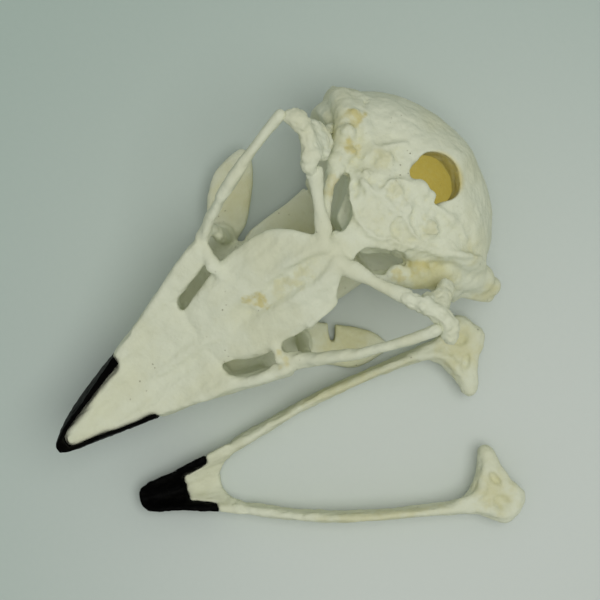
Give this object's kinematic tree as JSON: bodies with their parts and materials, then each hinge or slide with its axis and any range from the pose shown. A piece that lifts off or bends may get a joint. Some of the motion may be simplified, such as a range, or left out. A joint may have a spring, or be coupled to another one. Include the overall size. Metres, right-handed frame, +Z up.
{
  "type": "eagle skull",
  "caption": "Life-size eagle skull lying upside down on its crown, with a hooked black-tipped bill, open palate and eye sockets, and its own lower jaw lying beside it.",
  "frame": {"origin": "centre of the object's footprint on the surface it lies on", "axes": "+Y along the skull from the bill tip to the back of the head, +X to the bird's right, +Z up, from the crown to the palate"},
  "size_m": [0.1114, 0.1174, 0.0551],
  "materials": {
    "bone": "dry cleaned bone, matt, cream with yellow stains",
    "horn": "black horn with a soft gloss"
  },
  "bodies": {
    "root": {"upper_bill": "bone", "bill_sheath": "horn", "frontal": "bone", "septum": "bone", "braincase": "bone", "palatine_left": "bone", "palatine_right": "bone", "jugal_left": "bone", "jugal_right": "bone", "quadrate_left": "bone", "quadrate_right": "bone", "pterygoid_left": "bone", "pterygoid_right": "bone", "lacrimal_left": "bone", "lacrimal_right": "bone", "jaw_chin": "bone", "jaw_sheath": "horn", "ramus_left": "bone", "ramus_right": "bone"}
  },
  "joints": []
}
